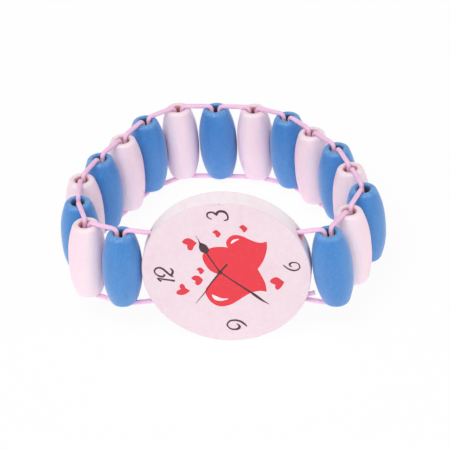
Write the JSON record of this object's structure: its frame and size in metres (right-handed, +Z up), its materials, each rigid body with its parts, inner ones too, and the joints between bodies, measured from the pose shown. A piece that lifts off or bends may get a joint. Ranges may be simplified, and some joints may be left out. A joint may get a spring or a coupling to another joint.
{
  "type": "toy bracelet watch",
  "caption": "Round wooden toy watch dial on a stretchy bracelet of round barrel beads, laced like a ladder with one elastic cord; the band flexes bead by bead.",
  "frame": {"origin": "on the table under the middle of the watch's outline, as it stands on the dial's rim and the rear laces", "axes": "+X to the right across the dial, -Y the way the dial faces, +Z up from the table"},
  "size_m": [0.0686, 0.0562, 0.0351],
  "materials": {
    "dial_paint": "satin pale pink stain and lacquer on wood",
    "bead_blue": "satin blue lacquer on wood",
    "bead_pink": "satin pale pink lacquer on wood",
    "elastic": "soft satin pink elastic cord",
    "print_dark": "flat dark brown printing ink",
    "print_red": "flat red printing ink",
    "print_white": "flat white printing ink"
  },
  "bodies": {
    "watch": {"dial": "dial_paint", "elastic_cord": "elastic", "cord_knot": "elastic"},
    "bead_01": {"bead_01": "bead_blue"},
    "bead_02": {"bead_02": "bead_pink"},
    "bead_03": {"bead_03": "bead_blue"},
    "bead_04": {"bead_04": "bead_pink"},
    "bead_05": {"bead_05": "bead_blue"},
    "bead_06": {"bead_06": "bead_pink"},
    "bead_07": {"bead_07": "bead_blue"},
    "bead_08": {"bead_08": "bead_pink"},
    "bead_09": {"bead_09": "bead_blue"},
    "bead_10": {"bead_10": "bead_pink"},
    "bead_11": {"bead_11": "bead_blue"},
    "bead_12": {"bead_12": "bead_pink"},
    "bead_13": {"bead_13": "bead_blue"},
    "bead_14": {"bead_14": "bead_pink"},
    "bead_15": {"bead_15": "bead_blue"},
    "bead_16": {"bead_16": "bead_pink"},
    "bead_17": {"bead_17": "bead_blue"}
  },
  "joints": [
    {"name": "flex_01", "type": "hinge", "parent": "watch", "child": "bead_01", "pos_m": [-0.01975, -0.02301, 0.01755], "axis": [0, 0.163, 0.9866], "range_deg": [-20, 20], "deforming": ["elastic_cord"]},
    {"name": "flex_02", "type": "hinge", "parent": "bead_01", "child": "bead_02", "pos_m": [-0.02746, -0.01972, 0.01701], "axis": [0, 0.163, 0.9866], "range_deg": [-5, 5]},
    {"name": "flex_03", "type": "hinge", "parent": "bead_02", "child": "bead_03", "pos_m": [-0.03001, -0.01183, 0.01571], "axis": [0, 0.163, 0.9866], "range_deg": [-9, 9]},
    {"name": "flex_04", "type": "hinge", "parent": "bead_03", "child": "bead_04", "pos_m": [-0.03021, -0.00354, 0.01434], "axis": [0, 0.163, 0.9866], "range_deg": [-8, 8]},
    {"name": "flex_05", "type": "hinge", "parent": "bead_04", "child": "bead_05", "pos_m": [-0.02728, 0.00422, 0.01305], "axis": [0, 0.163, 0.9866], "range_deg": [-5, 5]},
    {"name": "flex_06", "type": "hinge", "parent": "bead_05", "child": "bead_06", "pos_m": [-0.02326, 0.0115, 0.01185], "axis": [0, 0.163, 0.9866], "range_deg": [-3, 3]},
    {"name": "flex_07", "type": "hinge", "parent": "bead_06", "child": "bead_07", "pos_m": [-0.01924, 0.01878, 0.01065], "axis": [0, 0.163, 0.9866], "range_deg": [-2, 2]},
    {"name": "flex_08", "type": "hinge", "parent": "bead_07", "child": "bead_08", "pos_m": [-0.01252, 0.02376, 0.00982], "axis": [0, 0.163, 0.9866], "range_deg": [-3, 3]},
    {"name": "flex_09", "type": "hinge", "parent": "bead_08", "child": "bead_09", "pos_m": [-0.00412, 0.02359, 0.00985], "axis": [0, 0.163, 0.9866], "range_deg": [-13, 13]},
    {"name": "flex_10", "type": "hinge", "parent": "bead_11", "child": "bead_10", "pos_m": [0.00426, 0.02302, 0.00995], "axis": [0, 0.163, 0.9866], "range_deg": [-6, 6]},
    {"name": "flex_11", "type": "hinge", "parent": "bead_12", "child": "bead_11", "pos_m": [0.01199, 0.01979, 0.01048], "axis": [0, 0.163, 0.9866], "range_deg": [-3, 3]},
    {"name": "flex_12", "type": "hinge", "parent": "bead_13", "child": "bead_12", "pos_m": [0.01767, 0.01369, 0.01149], "axis": [0, 0.163, 0.9866], "range_deg": [-1, 1]},
    {"name": "flex_13", "type": "hinge", "parent": "bead_14", "child": "bead_13", "pos_m": [0.02336, 0.00758, 0.0125], "axis": [0, 0.163, 0.9866], "range_deg": [-5, 5]},
    {"name": "flex_14", "type": "hinge", "parent": "bead_15", "child": "bead_14", "pos_m": [0.02671, -0.00002, 0.01375], "axis": [0, 0.163, 0.9866], "range_deg": [-8, 8]},
    {"name": "flex_15", "type": "hinge", "parent": "bead_16", "child": "bead_15", "pos_m": [0.03006, -0.00761, 0.01501], "axis": [0, 0.163, 0.9866], "range_deg": [-11, 11]},
    {"name": "flex_16", "type": "hinge", "parent": "bead_17", "child": "bead_16", "pos_m": [0.02756, -0.01553, 0.01632], "axis": [0, 0.163, 0.9866], "range_deg": [-2, 2]},
    {"name": "flex_17", "type": "hinge", "parent": "watch", "child": "bead_17", "pos_m": [0.02395, -0.02301, 0.01755], "axis": [0, 0.163, 0.9866], "range_deg": [-12, 12]}
  ],
  "couplings": [
    {"joint": "flex_02", "follows": "flex_01", "ratio": -0.2341},
    {"joint": "flex_03", "follows": "flex_01", "ratio": -0.4352},
    {"joint": "flex_04", "follows": "flex_01", "ratio": -0.3961},
    {"joint": "flex_05", "follows": "flex_01", "ratio": -0.2224},
    {"joint": "flex_06", "follows": "flex_01", "ratio": -0.105},
    {"joint": "flex_07", "follows": "flex_01", "ratio": -0.058},
    {"joint": "flex_08", "follows": "flex_01", "ratio": 0.1239},
    {"joint": "flex_09", "follows": "flex_01", "ratio": 0.6003},
    {"joint": "flex_10", "follows": "flex_01", "ratio": -0.2658},
    {"joint": "flex_11", "follows": "flex_01", "ratio": -0.1041},
    {"joint": "flex_12", "follows": "flex_01", "ratio": 0.042},
    {"joint": "flex_13", "follows": "flex_01", "ratio": 0.2009},
    {"joint": "flex_14", "follows": "flex_01", "ratio": 0.3712},
    {"joint": "flex_15", "follows": "flex_01", "ratio": 0.5466},
    {"joint": "flex_16", "follows": "flex_01", "ratio": 0.0599},
    {"joint": "flex_17", "follows": "flex_01", "ratio": -0.5772}
  ]
}
